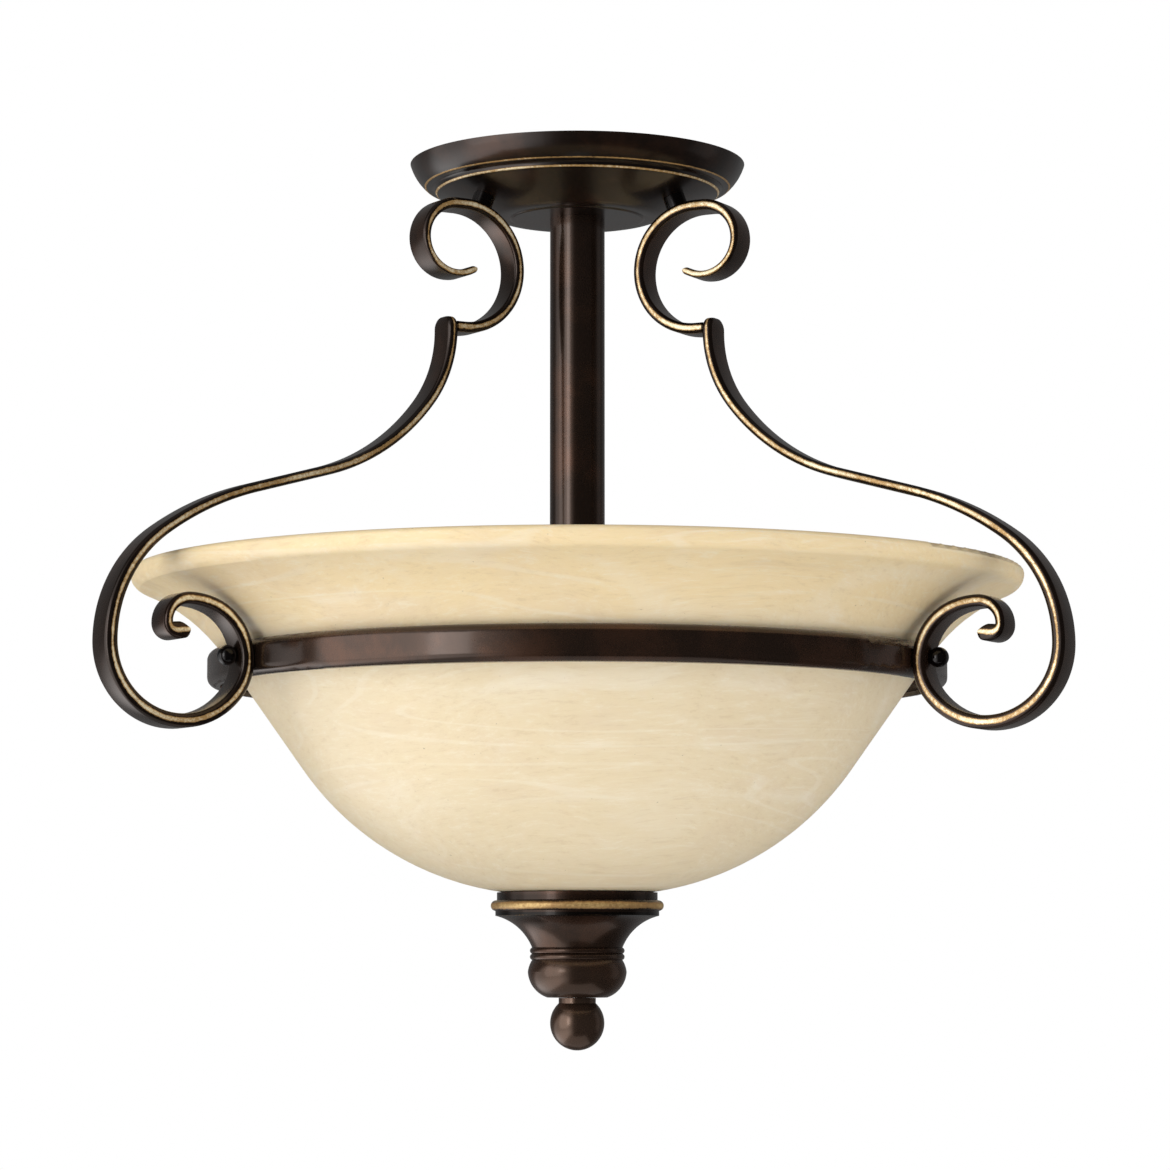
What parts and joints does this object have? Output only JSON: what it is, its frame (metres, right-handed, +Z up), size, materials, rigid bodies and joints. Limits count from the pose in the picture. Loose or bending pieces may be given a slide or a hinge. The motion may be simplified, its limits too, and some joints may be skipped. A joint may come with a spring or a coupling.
{
  "type": "semi flush ceiling light",
  "caption": "Ceiling light hung close below a round canopy: a bell-shaped streaked glass bowl held in a metal ring by scrolled flat-bar arms, with a turned finial under it.",
  "frame": {"origin": "middle of the ceiling plane, centre of the mounting strap's two slots, on the stem's axis", "axes": "+Z up into the ceiling, the light hangs below zero; +Y along the back arm; +X along the mounting strap; the front is towards -Y"},
  "size_m": [0.4248, 0.4464, 0.4097],
  "materials": {
    "bronze_finish": "dark brown-black rubbed bronze, semi-gloss, gold-brown on ridges",
    "alabaster_glass": "cream and amber glass with soft streaks, satin outside",
    "zinc_steel": "zinc plated",
    "green_screw": "green",
    "brass": "bright",
    "aluminium_cap": "plain",
    "holder_plastic": "moulded",
    "frosted_lamp": "frosted white",
    "gasket_rubber": "soft white"
  },
  "bodies": {
    "fixture": {"arm_bar_back": "bronze_finish", "arm_bar_left": "bronze_finish", "arm_bar_right": "bronze_finish", "arm_collar_back": "bronze_finish", "arm_collar_left": "bronze_finish", "arm_collar_right": "bronze_finish", "arm_screws": "zinc_steel", "arm_scroll_back": "bronze_finish", "arm_scroll_left": "bronze_finish", "arm_scroll_right": "bronze_finish", "canopy": "bronze_finish", "canopy_nut": "zinc_steel", "canopy_washer": "zinc_steel", "centre_rod": "zinc_steel", "clamp_plate": "zinc_steel", "cluster_housing": "bronze_finish", "cluster_lid": "bronze_finish", "earth_screw": "green_screw", "glass_bowl": "alabaster_glass", "glass_ring": "bronze_finish", "hanging_pipe": "zinc_steel", "lamp_contact_front": "brass", "lamp_contact_left": "brass", "lamp_contact_right": "brass", "lamp_holder_front": "holder_plastic", "lamp_holder_left": "holder_plastic", "lamp_holder_right": "holder_plastic", "lamp_pipe_front": "brass", "lamp_pipe_left": "brass", "lamp_pipe_right": "brass", "mounting_strap": "zinc_steel", "pipe_nut": "zinc_steel", "plate_nut": "zinc_steel", "ring_nuts": "zinc_steel", "rod_nut_lower": "zinc_steel", "rod_nut_upper": "zinc_steel", "screw_shell_front": "brass", "screw_shell_left": "brass", "screw_shell_right": "brass", "star_washer": "zinc_steel", "stem_bottom_plug": "bronze_finish", "stem_top_plug": "bronze_finish", "stem_tube": "bronze_finish", "upper_gasket": "gasket_rubber"},
    "finial": {"finial_cup": "bronze_finish", "finial_bulge": "bronze_finish", "lower_gasket": "gasket_rubber"},
    "ball_nut": {"finial_ball": "bronze_finish"},
    "ball_screw_right": {"ball_screw_right": "bronze_finish"},
    "ball_screw_left": {"ball_screw_left": "bronze_finish"},
    "ball_screw_back": {"ball_screw_back": "bronze_finish"},
    "lamp_front": {"lamp_base_front": "aluminium_cap", "lamp_glass_front": "frosted_lamp"},
    "lamp_left": {"lamp_base_left": "aluminium_cap", "lamp_glass_left": "frosted_lamp"},
    "lamp_right": {"lamp_base_right": "aluminium_cap", "lamp_glass_right": "frosted_lamp"}
  },
  "joints": [
    {"name": "finial_slide", "type": "slide", "parent": "fixture", "child": "finial", "axis": [0, 0, -1], "range_m": [0, 0.00762]},
    {"name": "ball_nut_turn", "type": "hinge", "parent": "finial", "child": "ball_nut", "pos_m": [0, 0, -0.3859], "axis": [0, 0, -1], "range_deg": [0, 2160]},
    {"name": "ball_screw_right_turn", "type": "hinge", "parent": "fixture", "child": "ball_screw_right", "pos_m": [0.14697, -0.08485, -0.2364], "axis": [0.866, -0.5, 0], "range_deg": [0, 1640]},
    {"name": "ball_screw_left_turn", "type": "hinge", "parent": "fixture", "child": "ball_screw_left", "pos_m": [-0.14697, -0.08485, -0.2364], "axis": [-0.866, -0.5, 0], "range_deg": [0, 1640]},
    {"name": "ball_screw_back_turn", "type": "hinge", "parent": "fixture", "child": "ball_screw_back", "pos_m": [0, 0.1697, -0.2364], "axis": [0, 1, 0], "range_deg": [0, 1640]},
    {"name": "lamp_front_turn", "type": "hinge", "parent": "fixture", "child": "lamp_front", "pos_m": [0, 0, -0.2643], "axis": [0, -0.9659, 0.2588], "range_deg": [0, 1800]},
    {"name": "lamp_left_turn", "type": "hinge", "parent": "fixture", "child": "lamp_left", "pos_m": [0, 0, -0.2643], "axis": [-0.8365, 0.483, 0.2588], "range_deg": [0, 1800]},
    {"name": "lamp_right_turn", "type": "hinge", "parent": "fixture", "child": "lamp_right", "pos_m": [0, 0, -0.2643], "axis": [0.8365, 0.483, 0.2588], "range_deg": [0, 1800]}
  ],
  "couplings": [
    {"joint": "ball_nut_turn", "follows": "finial_slide", "rad_per_m": 4947.4}
  ]
}
